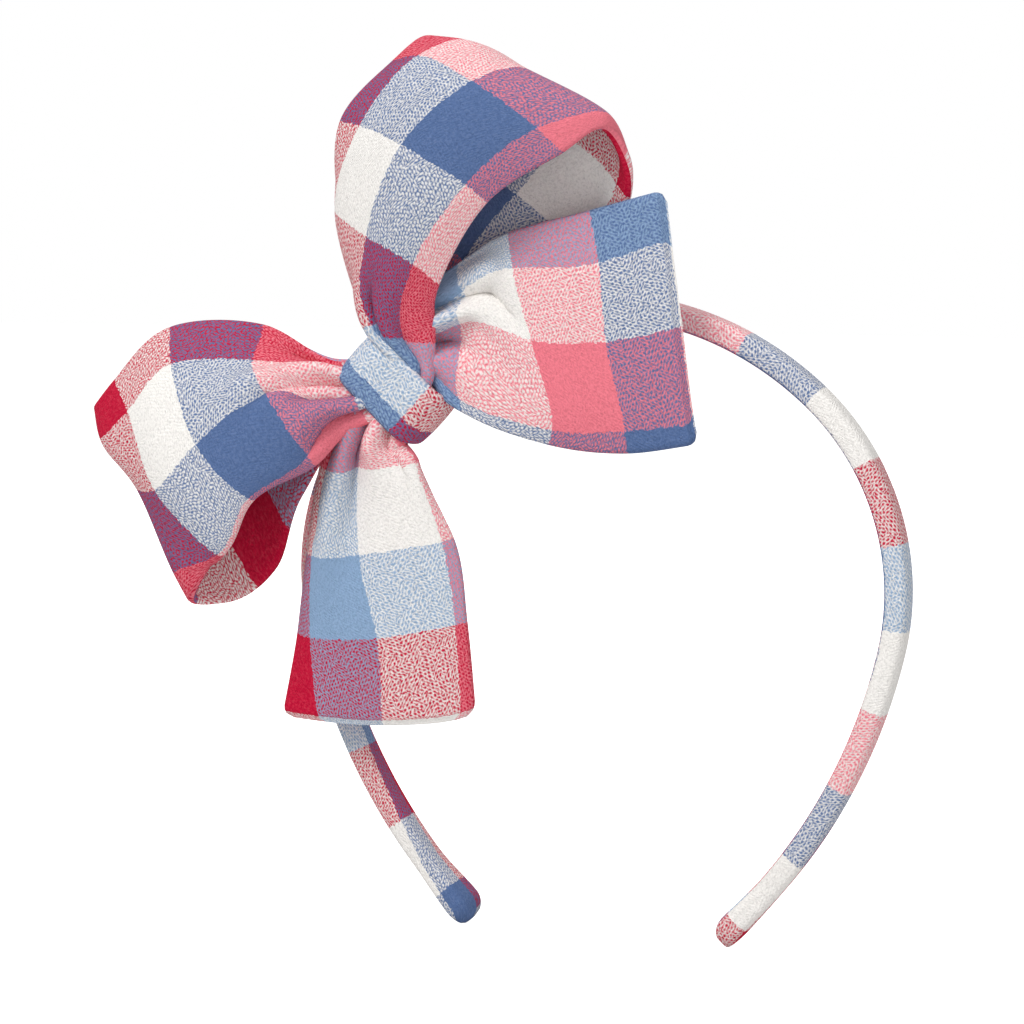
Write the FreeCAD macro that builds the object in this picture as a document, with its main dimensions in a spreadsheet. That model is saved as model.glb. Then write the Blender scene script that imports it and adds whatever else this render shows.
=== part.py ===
import FreeCAD, Part
import math
import os
import Sketcher

Vector = FreeCAD.Vector

# A fabric bow on a covered headband. The frame is +Z up, as the band is worn:
# the origin is the centre of the crown arc, the hoop lies in the XZ plane and
# the bow faces -Y. Lengths are in millimetres and angles in degrees.

SIZES = [
    # line of the hoop, along the outside of its cover
    ("crownRadius", 76.0),
    ("crownTurn", 42.6),
    ("shoulderRadius", 60.0),
    ("shoulderTurn", 60.0),
    ("limbRadius", 130.0),
    ("limbTurn", 29.7),
    # section of the covered band
    ("bandWidth", 8.0),
    ("bandThickness", 5.4),
    ("coverWall", 0.7),
    ("coverRound", 2.1),
    ("coverHeadCut", 0.9),
    ("cavityChamfer", 1.2),
    ("cavityHeadChamfer", 0.5),
    ("coreWidth", 5.4),
    ("coreThickness", 1.4),
    ("layerClearance", 0.1),
    ("coreSetback", 0.6),
    # folded cloth at the two tips
    ("tipFoldLength", 8.0),
    ("tipWidth", 10.0),
    ("tipThickness", 4.8),
    ("tipRound", 1.4),
    # where the bow sits on the band
    ("knotAngle", 128.5),
    ("bowTilt", 8.0),
    ("bowInset", 3.0),
    # ribbons: turned tubes of cloth round an interfacing
    ("ribbonThickness", 2.2),
    ("clothWall", 0.5),
    ("clothGap", 0.25),
    ("hemMargin", 3.0),
    ("waistWidth", 17.0),
    ("waistGap", 0.6),
    ("stackClearance", 0.2),
    # loops
    ("loopWidth", 59.0),
    ("loopDepth", 25.0),
    ("leftLoopLength", 68.0),
    ("rightLoopLength", 77.0),
    # tails
    ("tailWidth", 55.0),
    ("tailDepth", 14.0),
    ("rightTailLength", 75.0),
    ("lowerTailLength", 74.0),
    # felt pad between the bow and the band
    ("padThickness", 0.8),
    ("padLength", 11.0),
    ("padHeight", 9.0),
    ("padRound", 2.0),
    # knot wrap, the thread under it and the stitches that close it
    ("knotWidth", 14.0),
    ("knotWall", 1.8),
    ("neckMargin", 0.5),
    ("knotSlack", 1.5),
    ("knotRound", 3.5),
    ("knotEdgeChamfer", 0.5),
    ("threadSize", 0.6),
    ("threadTurns", 3),
    ("threadPitch", 1.2),
    ("stitchCount", 5),
    ("stitchLength", 2.4),
    ("stitchWidth", 0.6),
    ("stitchHeight", 0.4),
    ("stitchPitch", 2.3),
]

# The free part of each ribbon, from the knot outwards: its low edge, its middle and
# its high edge at each station. A point is three percentages: along the free length,
# away from the head (of the ribbon's width) and forwards (of the ribbon's depth).
RIGHT_LOOP_FORM = [
    ((9, -2, 57), (5, 14, 64), (3, 27, 54)),
    ((25, 10, 68), (21, 41, 84), (18, 59, 44)),
    ((57, 15, 88), (51, 53, 100), (38, 81, 56)),
    ((84, 7, 88), (80, 49, 96), (63, 81, 56)),
    ((99, 2, 72), (91, 42, 72), (76, 80, 52)),
    ((94, -10, 52), (91, 37, 48), (76, 76, 40)),
    ((78, -22, 36), (71, 31, 20), (55, 75, 28)),
    ((41, -19, 28), (41, 27, 18), (28, 64, 28)),
    ((9, -10, 28), (7, 12, 27), (5, 32, 28)),
]
LEFT_LOOP_FORM = [
    ((8, 0, 57), (6, 14, 64), (4, 26, 54)),
    ((29, 2, 68), (21, 31, 92), (11, 56, 40)),
    ((50, 8, 88), (52, 36, 100), (37, 83, 40)),
    ((75, 3, 88), (77, 37, 92), (67, 85, 48)),
    ((100, 0, 72), (85, 46, 68), (79, 85, 44)),
    ((97, -7, 44), (85, 47, 44), (77, 86, 32)),
    ((74, -12, 32), (65, 49, 20), (47, 83, 28)),
    ((47, 0, 28), (39, 39, 20), (24, 59, 28)),
    ((9, 3, 28), (6, 14, 28), (3, 24, 28)),
]
RIGHT_TAIL_FORM = [
    ((1, -29, 76), (21, -4, 76), (35, 13, 72)),
    ((13, -62, 86), (33, -31, 100), (53, 7, 86)),
    ((29, -87, 86), (50, -53, 100), (76, -11, 93)),
    ((50, -107, 93), (72, -73, 100), (100, -29, 93)),
]
LOWER_TAIL_FORM = [
    ((4, -27, 75), (16, -14, 75), (28, -3, 75)),
    ((11, -62, 79), (43, -35, 79), (53, -22, 79)),
    ((28, -89, 86), (56, -65, 86), (76, -40, 86)),
    ((47, -116, 86), (76, -91, 86), (100, -58, 86)),
]
ACROSS = 4
EASED_TURN = 50
SAME_PLACE = 1e-4

doc = FreeCAD.newDocument("HairBow")
sheet = doc.addObject("Spreadsheet::Sheet", "Sizes")
for row, (alias, value) in enumerate(SIZES, start=1):
    sheet.set("A%d" % row, alias)
    sheet.set("B%d" % row, str(value))
    sheet.setAlias("B%d" % row, alias)
doc.recompute()


class Length:
    """A number together with the sheet expression that it comes from."""

    def __init__(self, value, text):
        self.value = float(value)
        self.text = text

    def __add__(self, other):
        other = length(other)
        return Length(self.value + other.value, "(%s + %s)" % (self.text, other.text))

    def __sub__(self, other):
        other = length(other)
        return Length(self.value - other.value, "(%s - %s)" % (self.text, other.text))

    def __mul__(self, other):
        other = length(other)
        return Length(self.value * other.value, "(%s * %s)" % (self.text, other.text))

    def __truediv__(self, other):
        other = length(other)
        return Length(self.value / other.value, "(%s / %s)" % (self.text, other.text))


def length(value):
    return value if isinstance(value, Length) else Length(value, repr(float(value)))


def named(alias):
    return Length(sheet.get(alias), "Sizes." + alias)


def sine(angle):
    return Length(math.sin(math.radians(angle.value)), "sin(%s * 1deg)" % angle.text)


def cosine(angle):
    return Length(math.cos(math.radians(angle.value)), "cos(%s * 1deg)" % angle.text)


# ---- derived lengths that several pieces share ----

clearance = named("layerClearance")
wall = named("coverWall")
stack = named("stackClearance")
bandThickness = named("bandThickness")
halfBand = named("bandWidth") / 2
ribbon = named("ribbonThickness")
thread = named("threadSize")

# depths in front of the hoop's plane, from the band out to the knot's face
padBack = halfBand + stack
padFront = padBack + named("padThickness")
threadBack = padFront + stack
backLayer = threadBack + thread + stack + ribbon / 2
tailLayer = backLayer + ribbon + stack
frontLayer = tailLayer + ribbon + stack
threadFront = frontLayer + ribbon / 2 + stack + thread
wrapFront = threadFront + stack

# the bow's own frame: x along the ribbons, y backwards, z away from the head
bowRadius = named("crownRadius") - bandThickness / 2 - named("bowInset")
bowTurn = named("knotAngle") + named("bowTilt") - 90


def bow_placement():
    angle = math.radians(named("knotAngle").value)
    base = Vector(math.cos(angle), 0, math.sin(angle)) * bowRadius.value
    return FreeCAD.Placement(base, FreeCAD.Rotation(Vector(0, -1, 0), bowTurn.value))


def place_in_bow(body):
    """Seat a body in the bow's frame, bound to where the knot is on the band."""
    body.Placement = bow_placement()
    body.setExpression("Placement.Base.x", (bowRadius * cosine(named("knotAngle"))).text)
    body.setExpression("Placement.Base.z", (bowRadius * sine(named("knotAngle"))).text)
    body.setExpression("Placement.Rotation.Angle", bowTurn.text)


# ---- sketch helpers ----

def new_body(label):
    body = doc.addObject("PartDesign::Body", label)
    body.Label = label
    if hasattr(body, "AllowCompound"):
        body.AllowCompound = True
    return body


def origin_plane(body, role):
    return [item for item in body.Origin.OriginFeatures if item.Role == role][0]


def sketch_on(body, name, role, offset=None):
    """A sketch on one of the body's origin planes, raised along its normal."""
    sketch = body.newObject("Sketcher::SketchObject", name)
    sketch.AttachmentSupport = [(origin_plane(body, role), "")]
    sketch.MapMode = "FlatFace"
    if offset is not None:
        sketch.AttachmentOffset = FreeCAD.Placement(Vector(0, 0, offset.value), FreeCAD.Rotation())
        sketch.setExpression("AttachmentOffset.Base.z", offset.text)
    return sketch


def constrain(sketch, name, kind, *where_and_value):
    """Add one dimension and bind it to its expression."""
    *where, value = where_and_value
    index = sketch.addConstraint(Sketcher.Constraint(kind, *where, value.value))
    sketch.renameConstraint(index, name)
    sketch.setExpression("Constraints." + name, value.text)


def hoop_arcs(setback):
    """The hoop's line from its right tip to its left tip: centre x and z, radius and
    the angles where each arc starts and ends, from the top towards the right side."""
    crown, shoulder, limb = named("crownRadius"), named("shoulderRadius"), named("limbRadius")
    crown_end = named("crownTurn")
    shoulder_end = crown_end + named("shoulderTurn")
    limb_end = shoulder_end + named("limbTurn") - setback / limb * (180 / math.pi)
    shoulder_x = (crown - shoulder) * sine(crown_end)
    shoulder_z = (crown - shoulder) * cosine(crown_end)
    limb_x = shoulder_x + (shoulder - limb) * sine(shoulder_end)
    limb_z = shoulder_z + (shoulder - limb) * cosine(shoulder_end)
    return [
        (limb_x, limb_z, limb, limb_end, shoulder_end),
        (shoulder_x, shoulder_z, shoulder, shoulder_end, crown_end),
        (length(0), length(0), crown, crown_end, crown_end * -1),
        (shoulder_x * -1, shoulder_z, shoulder, crown_end * -1, shoulder_end * -1),
        (limb_x * -1, limb_z, limb, shoulder_end * -1, limb_end * -1),
    ]


def hoop_section(body, name, arc, angle, beyond=None):
    """A sketch square to the hoop's line: x to the back, y towards the head."""
    centre_x, centre_z, radius = arc[:3]
    x = centre_x + radius * sine(angle)
    z = centre_z + radius * cosine(angle)
    if beyond is not None:
        x = x + beyond * cosine(angle)
        z = z - beyond * sine(angle)
    side = 1 if angle.value >= 0 else -1
    turn = length(180) - angle * side
    sketch = sketch_on(body, name, "YZ_Plane")
    sketch.AttachmentOffset = FreeCAD.Placement(
        Vector(0, z.value, x.value), FreeCAD.Rotation(Vector(-side, 0, 0), turn.value))
    sketch.setExpression("AttachmentOffset.Base.y", z.text)
    sketch.setExpression("AttachmentOffset.Base.z", x.text)
    sketch.setExpression("AttachmentOffset.Rotation.Angle", turn.text)
    return sketch


def rounded_section(sketch, half, low, high, radius):
    """A rectangle with rounded corners: x across, y from low to high."""
    w, y0, y1, r = half.value, low.value, high.value, radius.value
    up = Vector(0, 0, 1)

    def corner(x, y, start):
        circle = Part.Circle(Vector(x, y, 0), up, r)
        return Part.ArcOfCircle(circle, math.radians(start), math.radians(start + 90))

    def line(x0, ya, x1, yb):
        return Part.LineSegment(Vector(x0, ya, 0), Vector(x1, yb, 0))

    sketch.addGeometry([
        line(-w + r, y0, w - r, y0),
        corner(w - r, y0 + r, 270),
        line(w, y0 + r, w, y1 - r),
        corner(w - r, y1 - r, 0),
        line(w - r, y1, -w + r, y1),
        corner(-w + r, y1 - r, 90),
        line(-w, y1 - r, -w, y0 + r),
        corner(-w + r, y0 + r, 180),
    ], False)
    for step in range(8):
        sketch.addConstraint(Sketcher.Constraint("Tangent", step, 2, (step + 1) % 8, 1))
    sketch.addConstraint([
        Sketcher.Constraint("Horizontal", 0),
        Sketcher.Constraint("Vertical", 2),
        Sketcher.Constraint("Horizontal", 4),
        Sketcher.Constraint("Vertical", 6),
        Sketcher.Constraint("Equal", 1, 3),
        Sketcher.Constraint("Equal", 1, 5),
        Sketcher.Constraint("Equal", 1, 7),
    ])
    constrain(sketch, "radius", "Radius", 1, radius)
    constrain(sketch, "rightHalf", "DistanceX", -1, 1, 2, 1, half)
    constrain(sketch, "leftHalf", "DistanceX", 6, 2, -1, 1, half)
    for name, index, place in (("low", 0, low), ("high", 4, high)):
        ends = (-1, 1, index, 1) if place.value >= 0 else (index, 1, -1, 1)
        constrain(sketch, name, "DistanceY", *ends, place if place.value >= 0 else place * -1)


def polygon(sketch, corners):
    """A closed outline whose corners are bound, each as (x, y) from the origin."""
    count = len(corners)
    points = [Vector(x.value, y.value, 0) for x, y in corners]
    first = sketch.GeometryCount
    sketch.addGeometry([Part.LineSegment(points[i], points[(i + 1) % count]) for i in range(count)], False)
    for i in range(count):
        sketch.addConstraint(Sketcher.Constraint("Coincident", first + i, 2, first + (i + 1) % count, 1))
    for i, corner in enumerate(corners):
        for kind, part, value, axis in (("DistanceX", "x", corner[0], -2), ("DistanceY", "y", corner[1], -1)):
            if not value.value:
                sketch.addConstraint(Sketcher.Constraint("PointOnObject", first + i, 1, axis))
                continue
            ends = (-1, 1, first + i, 1) if value.value >= 0 else (first + i, 1, -1, 1)
            sign = 1 if value.value >= 0 else -1
            constrain(sketch, "%s%d" % (part, first + i), kind, *ends, value * sign)


def chamfered_section(sketch, half, low, high, low_cut, high_cut):
    """A rectangle with its four corners cut off: x across, y from low to high."""
    polygon(sketch, [(half * -1, low + low_cut), (half * -1 + low_cut, low),
                     (half - low_cut, low), (half, low + low_cut),
                     (half, high - high_cut), (half - high_cut, high),
                     (half * -1 + high_cut, high), (half * -1, high - high_cut)])


def turned_along_hoop(body, name, kind, setback, draw):
    """Turn a section through each arc of the hoop's line, about that arc's centre."""
    for index, arc in enumerate(hoop_arcs(setback), start=1):
        radius, start, end = arc[2:]
        section = hoop_section(body, "%sSection%d" % (name, index), arc, start)
        axis = section.addGeometry(Part.LineSegment(Vector(1, radius.value, 0), Vector(-1, radius.value, 0)), True)
        section.addConstraint(Sketcher.Constraint("Horizontal", axis))
        constrain(section, "axisBack", "DistanceX", -1, 1, axis, 1, length(1))
        constrain(section, "axisFront", "DistanceX", axis, 2, -1, 1, length(1))
        constrain(section, "axisRadius", "DistanceY", -1, 1, axis, 1, radius)
        draw(section)
        turned = body.newObject("PartDesign::" + kind, "%sArc%d" % (name, index))
        turned.Profile = section
        turned.ReferenceAxis = (section, ["Axis0"])
        turned.Angle = (start - end).value
        turned.setExpression("Angle", (start - end).text)


# ---- headband ----

half_cavity = halfBand - wall
core_high = bandThickness - wall - clearance
core_low = core_high - named("coreThickness")


def cover_section(sketch, half, low, radius):
    """The cover's outline: corners rounded by two flats outside, and cut towards the head."""
    high, cut = bandThickness, named("coverHeadCut")
    step = radius * (1 - math.sqrt(0.5))
    right = [(half - radius, low), (half - step, low + step), (half, low + radius),
             (half, high - cut), (half - cut, high)]
    polygon(sketch, right + [(x * -1, y) for x, y in reversed(right)])


def band_cover():
    """Cloth sleeve over the hoop, closed and flared where it folds over at the tips."""
    body = new_body("band_cover")
    turned_along_hoop(body, "cover", "Revolution", length(0), lambda sketch: cover_section(
        sketch, halfBand, length(0), named("coverRound")))
    arcs = hoop_arcs(length(0))
    fold = named("tipFoldLength")
    tips = (("right", arcs[0], arcs[0][3], fold), ("left", arcs[-1], arcs[-1][4], fold * -1))
    for side, arc, angle, reach in tips:
        near = hoop_section(body, side + "TipRoot", arc, angle)
        cover_section(near, halfBand, length(0), named("coverRound"))
        far = hoop_section(body, side + "TipEnd", arc, angle, reach)
        cover_section(far, named("tipWidth") / 2, bandThickness - named("tipThickness"), named("tipRound"))
        loft = body.newObject("PartDesign::AdditiveLoft", side + "TipFold")
        loft.Profile = near
        loft.Sections = [far]
    turned_along_hoop(body, "hollow", "Groove", length(0), lambda sketch: chamfered_section(
        sketch, half_cavity, wall, bandThickness - wall,
        named("cavityChamfer"), named("cavityHeadChamfer")))
    return body


def band_core():
    """Flat springy strip that holds the hoop's shape, on the head side."""
    body = new_body("band_core")
    half = named("coreWidth") / 2
    turned_along_hoop(body, "core", "Revolution", named("coreSetback"), lambda sketch: polygon(
        sketch, [(half * -1, core_low), (half, core_low), (half, core_high), (half * -1, core_high)]))
    return body


def band_padding():
    """Foam strip that lies on the core and rounds the outside of the band."""
    body = new_body("band_padding")
    half, low, high = half_cavity - clearance, wall + clearance, core_low - clearance
    cut = named("cavityChamfer")
    turned_along_hoop(body, "padding", "Revolution", named("coreSetback"), lambda sketch: polygon(
        sketch, [(half * -1, low + cut), (half * -1 + cut, low), (half - cut, low), (half, low + cut),
                 (half, high), (half * -1, high)]))
    return body


PARTS = []


# ---- ribbons ----

def neck_stations(side, depth):
    """A gathered ribbon runs straight from the middle of the knot to clear of its wrap."""
    half = named("waistWidth").value / 2
    ends = (named("waistGap").value / 2, named("knotWidth").value / 2 + named("neckMargin").value)
    return [[Vector(side * along, -depth.value, away) for away in (-half, 0, half)] for along in ends]


def free_stations(side, form, reach, width, depth):
    """The form's points at their real size, past the knot."""
    neck = named("knotWidth").value / 2 + named("neckMargin").value
    free = named(reach).value - neck
    return [[Vector(side * (neck + free * along / 100), -named(depth).value * ahead / 100,
                    named(width).value * away / 100)
             for along, away, ahead in station] for station in form]


def eased(stations):
    """Halve each run where the ribbon turns, with the four-point rule."""
    result = [stations[0]]
    for index in range(1, len(stations) - 2):
        before, station, after, beyond = stations[index - 1:index + 3]
        result.append(station)
        if (station[1] - before[1]).getAngle(beyond[1] - after[1]) < math.radians(EASED_TURN):
            continue
        result.append([(here + there) * 0.5625 - (back + on) * 0.0625
                       for back, here, there, on in zip(before, station, after, beyond)])
    return result + stations[-2:]


def hem_line(stations):
    """The line inside a tail's end that its interfacing reaches."""
    return [end + (back - end).normalize() * named("hemMargin").value
            for end, back in zip(stations[-1], stations[-2])]


def across_ribbon(station):
    """Points across a station, on the parabola through its edges and middle: both edges,
    both edges of the interfacing and even steps between those."""
    low, middle, high = station
    margin = named("hemMargin").value / (high - low).Length
    places = [0] + [margin + (1 - 2 * margin) * step / ACROSS for step in range(ACROSS + 1)] + [1]
    return [low * ((2 * t - 1) * (t - 1)) + middle * (4 * t * (1 - t)) + high * (t * (2 * t - 1))
            for t in places]


def facets(near, far):
    """Flat triangles between two rows of points, two to each step."""
    faces = []
    for a, b, c, d in zip(near, near[1:], far[1:], far):
        faces += [Part.Face(Part.makePolygon([a, b, c, a])), Part.Face(Part.makePolygon([a, c, d, a]))]
    return faces


def ribbon_side(stations, side, depth):
    """Rows of points on one face of a layer, at a depth from the ribbon's middle."""
    net = [across_ribbon(station) for station in stations]
    rows = []
    for i, points in enumerate(net):
        before, after = net[max(i - 1, 0)], net[min(i + 1, len(net) - 1)]
        row = []
        for j, point in enumerate(points):
            across = points[min(j + 1, len(points) - 1)] - points[max(j - 1, 0)]
            row.append(point + ((after[j] - before[j]).cross(across) * side).normalize() * depth)
        rows.append(row)
    return rows


def ribbon_layer(stations, side, depth, thickness, inside, hemmed):
    """One layer of a ribbon: a strip of even thickness, at a depth from the middle."""
    outer = ribbon_side(stations, side, depth + thickness / 2)
    inner = ribbon_side(stations, side, depth - thickness / 2)
    if inside:
        last = len(stations) - (1 if hemmed else 0)
        outer = [row[1:-1] for row in outer[:last]]
        inner = [row[1:-1] for row in inner[:last]]
    faces = facets(outer[0], inner[0]) + facets(outer[-1], inner[-1])
    for i in range(len(outer) - 1):
        faces += facets(outer[i], outer[i + 1]) + facets(inner[i], inner[i + 1])
        for edge in (0, -1):
            faces += facets([outer[i][edge], inner[i][edge]], [outer[i + 1][edge], inner[i + 1][edge]])
    shell = Part.makeShell(faces)
    shell.sewShape()
    solid = Part.makeSolid(shell)
    if solid.Volume < 0:
        solid.reverse()
    return solid


def ribbon_pieces(label, side, stations, hemmed):
    """Outer cloth, interfacing and lining of one ribbon, from the outside in."""
    gap = named("clothGap").value
    cloth = named("clothWall").value
    core = ribbon.value - 2 * cloth - 2 * gap
    layers = (
        (label, (ribbon.value - cloth) / 2, cloth, False),
        (label + "_interfacing", 0, core, True),
        (label + "_lining", (cloth - ribbon.value) / 2, cloth, False),
    )
    for name, depth, thickness, inside in layers:
        feature = doc.addObject("Part::Feature", name)
        feature.Label = name
        feature.Shape = ribbon_layer(stations, side, depth, thickness, inside, hemmed)
        feature.Placement = bow_placement()
        PARTS.append(feature)


def loop(label, side, form, reach):
    """A loop leaves the knot in its front layer and comes back in the layer behind."""
    stations = neck_stations(side, frontLayer)
    stations += free_stations(side, form, reach, "loopWidth", "loopDepth")
    stations += neck_stations(side, backLayer)[::-1]
    ribbon_pieces(label, side, eased(stations), False)


def tail(label, side, form, reach):
    """A tail leaves the knot between the loops' two layers and ends in a hem."""
    stations = neck_stations(side, tailLayer)
    stations = eased(stations + free_stations(side, form, reach, "tailWidth", "tailDepth"))
    stations.insert(-1, hem_line(stations))
    ribbon_pieces(label, side, stations, True)


# ---- pieces at the knot ----

def felt_pad():
    """Felt that the bow is glued to, on the front of the band."""
    body = new_body("felt_pad")
    place_in_bow(body)
    sketch = sketch_on(body, "padOutline", "XZ_Plane", padBack)
    low = named("bowInset") - named("padHeight") / 2
    rounded_section(sketch, named("padLength") / 2, low, low + named("padHeight"), named("padRound"))
    pad_feature(body, "padBlock", sketch, named("padThickness"), False)
    return body


def pad_feature(body, name, sketch, depth, midplane):
    pad = body.newObject("PartDesign::Pad", name)
    pad.Profile = sketch
    pad.Length = depth.value
    pad.Midplane = midplane
    pad.setExpression("Length", depth.text)
    return pad


def edges_along(shape, direction):
    """Names of the straight edges that run along a direction."""
    names = []
    for index, edge in enumerate(shape.Edges, start=1):
        run = edge.Vertexes[-1].Point - edge.Vertexes[0].Point
        if run.Length > SAME_PLACE and abs(abs(run.normalize().dot(direction)) - 1) < SAME_PLACE:
            names.append("Edge%d" % index)
    return names


# the wrap's inner outline: round the gathered ribbons, then in behind the band
bundle = named("waistWidth") / 2 + stack + thread + stack
beltOutside = named("bowInset") + bandThickness / 2 + stack
beltInside = named("bowInset") - bandThickness / 2 - named("knotSlack")
beltBack = halfBand + stack


def wrap_outline(grow):
    shoulder = halfBand + stack
    outside = beltOutside + named("knotSlack")
    return [
        ((wrapFront + grow) * -1, (bundle + grow) * -1),
        ((wrapFront + grow) * -1, bundle + grow),
        (shoulder * -1, bundle + grow),
        (beltBack + grow, outside + grow),
        (beltBack + grow, beltInside - grow),
        (shoulder * -1, (bundle + grow) * -1),
    ]


def knot_wrap():
    """Folded strip round the gathered ribbons and the band."""
    body = new_body("knot_wrap")
    place_in_bow(body)
    outside = sketch_on(body, "wrapOutside", "YZ_Plane")
    polygon(outside, wrap_outline(named("knotWall")))
    pad_feature(body, "wrapBlock", outside, named("knotWidth"), True)
    inside = sketch_on(body, "wrapInside", "YZ_Plane")
    polygon(inside, wrap_outline(length(0)))
    pocket = body.newObject("PartDesign::Pocket", "wrapHollow")
    pocket.Profile = inside
    pocket.Type = "ThroughAll"
    pocket.Midplane = True
    doc.recompute()
    along = edges_along(pocket.Shape, Vector(1, 0, 0))
    reach = {}
    for name in along:
        point = pocket.Shape.getElement(name).Vertexes[0].Point
        reach[name] = (point.y, point.z)
    outline = [(x.value, y.value) for x, y in wrap_outline(named("knotWall"))]
    outer = [name for name in along
             if min(math.dist(reach[name], corner) for corner in outline) < SAME_PLACE]
    inner = [name for name in along if name not in outer]
    round_outer = body.newObject("PartDesign::Fillet", "wrapOuterRound")
    round_outer.Base = (pocket, outer)
    round_outer.Radius = named("knotRound").value
    round_outer.setExpression("Radius", named("knotRound").text)
    doc.recompute()
    rims = []
    for index, edge in enumerate(round_outer.Shape.Edges, start=1):
        flat = abs(abs(edge.CenterOfMass.x) - named("knotWidth").value / 2) < SAME_PLACE
        point = edge.valueAt((edge.FirstParameter + edge.LastParameter) / 2)
        if flat and is_outer(point, inside):
            rims.append("Edge%d" % index)
    rim = body.newObject("PartDesign::Chamfer", "wrapRim")
    rim.Base = (round_outer, rims)
    rim.Size = named("knotEdgeChamfer").value
    rim.setExpression("Size", named("knotEdgeChamfer").text)
    return body


def is_outer(point, hollow):
    """True where a point of the wrap's face is clear of the hollow's outline."""
    flat = Part.Vertex(Vector(0, point.y, point.z))
    return hollow.Shape.distToShape(flat)[0] > named("knotWall").value / 4


def gather_thread():
    """Turns of thread that hold the pinched ribbons together."""
    body = new_body("gather_thread")
    place_in_bow(body)
    turns = int(named("threadTurns").value)
    first = (named("threadPitch") * (turns - 1) + thread) / -2
    half = named("waistWidth") / 2 + stack
    back, front = threadBack, threadFront - thread
    # the ring lies across the ribbons: x along the bow's z, y forwards
    ring = sketch_on(body, "threadRing", "YZ_Plane", first)
    ring.AttachmentOffset = FreeCAD.Placement(Vector(0, 0, first.value), FreeCAD.Rotation(Vector(0, 0, 1), 90))
    chamfered_section(ring, half + thread, back, front + thread, thread, thread)
    chamfered_section(ring, half, back + thread, front, thread / 2, thread / 2)
    turn = pad_feature(body, "threadTurn", ring, thread, False)
    doc.recompute()
    repeat = body.newObject("PartDesign::LinearPattern", "threadTurnsPattern")
    repeat.Originals = [turn]
    repeat.Direction = (ring, ["N_Axis"])
    repeat.Length = named("threadPitch").value * (turns - 1)
    repeat.setExpression("Length", (named("threadPitch") * (turns - 1)).text)
    repeat.Occurrences = turns
    body.Tip = repeat
    return body


def wrap_stitches():
    """Small stitches that close the wrap behind the band."""
    body = new_body("wrap_stitches")
    place_in_bow(body)
    count = int(named("stitchCount").value)
    face = beltBack + named("knotWall")
    middle = (beltOutside + named("knotSlack") + beltInside) / 2
    span = named("stitchPitch") * (count - 1)
    low = middle - named("stitchLength") / 2
    sketch = sketch_on(body, "stitchOutline", "XZ_Plane", (face + length(0.02)) * -1)
    chamfered_section(sketch, named("stitchWidth") / 2, low, low + named("stitchLength"),
                      named("stitchWidth") / 3, named("stitchWidth") / 3)
    sketch.AttachmentOffset = FreeCAD.Placement(
        Vector(span.value / -2, 0, sketch.AttachmentOffset.Base.z), FreeCAD.Rotation())
    sketch.setExpression("AttachmentOffset.Base.x", (span / -2).text)
    stitch = pad_feature(body, "stitch", sketch, named("stitchHeight"), False)
    stitch.Reversed = True
    doc.recompute()
    repeat = body.newObject("PartDesign::LinearPattern", "stitchRow")
    repeat.Originals = [stitch]
    repeat.Direction = (sketch, ["H_Axis"])
    repeat.Length = span.value
    repeat.setExpression("Length", span.text)
    repeat.Occurrences = count
    body.Tip = repeat
    return body


def main():
    PARTS.extend([band_cover(), band_core(), band_padding(), felt_pad(),
                  knot_wrap(), gather_thread(), wrap_stitches()])
    loop("right_loop", 1, RIGHT_LOOP_FORM, "rightLoopLength")
    loop("left_loop", -1, LEFT_LOOP_FORM, "leftLoopLength")
    tail("right_tail", 1, RIGHT_TAIL_FORM, "rightTailLength")
    tail("lower_tail", -1, LOWER_TAIL_FORM, "lowerTailLength")
    doc.recompute()
    for item in doc.Objects:
        if "Invalid" in item.State or "Error" in item.State:
            raise RuntimeError("%s failed: %s" % (item.Label, item.State))
    os.makedirs("parts", exist_ok=True)
    for item in PARTS:
        shape = item.Shape
        if shape.isNull() or not shape.isValid():
            raise RuntimeError("%s has a bad shape" % item.Label)
        print(item.Label, "solids", len(shape.Solids), "volume", round(shape.Volume, 1), shape.BoundBox)
        shape.exportStep("parts/%s.step" % item.Label)


main()
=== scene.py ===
import math

import bpy
import numpy as np
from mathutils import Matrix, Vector


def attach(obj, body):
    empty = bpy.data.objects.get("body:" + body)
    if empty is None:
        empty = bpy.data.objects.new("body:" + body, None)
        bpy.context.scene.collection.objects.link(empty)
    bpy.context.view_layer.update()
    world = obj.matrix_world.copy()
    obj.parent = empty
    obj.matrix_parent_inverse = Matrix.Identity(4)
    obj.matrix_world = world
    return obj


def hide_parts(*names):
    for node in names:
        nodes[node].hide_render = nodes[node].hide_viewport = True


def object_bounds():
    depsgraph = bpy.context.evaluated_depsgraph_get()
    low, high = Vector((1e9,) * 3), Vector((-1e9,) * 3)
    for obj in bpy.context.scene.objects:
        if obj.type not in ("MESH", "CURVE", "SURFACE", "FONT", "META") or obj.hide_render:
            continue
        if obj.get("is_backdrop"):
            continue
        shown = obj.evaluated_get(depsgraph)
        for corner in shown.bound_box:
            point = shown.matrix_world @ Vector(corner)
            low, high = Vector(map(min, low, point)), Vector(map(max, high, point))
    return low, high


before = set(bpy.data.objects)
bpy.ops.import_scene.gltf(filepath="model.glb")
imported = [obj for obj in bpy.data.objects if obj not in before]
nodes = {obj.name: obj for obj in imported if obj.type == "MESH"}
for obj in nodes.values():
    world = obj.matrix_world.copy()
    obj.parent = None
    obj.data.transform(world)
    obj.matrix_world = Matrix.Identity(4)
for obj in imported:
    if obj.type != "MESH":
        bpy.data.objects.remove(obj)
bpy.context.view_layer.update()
bpy.ops.object.select_all(action="DESELECT")
millimetre = 0.001
black = (0.0, 0.0, 0.0, 1.0)
white = (1.0, 1.0, 1.0, 1.0)


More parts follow.
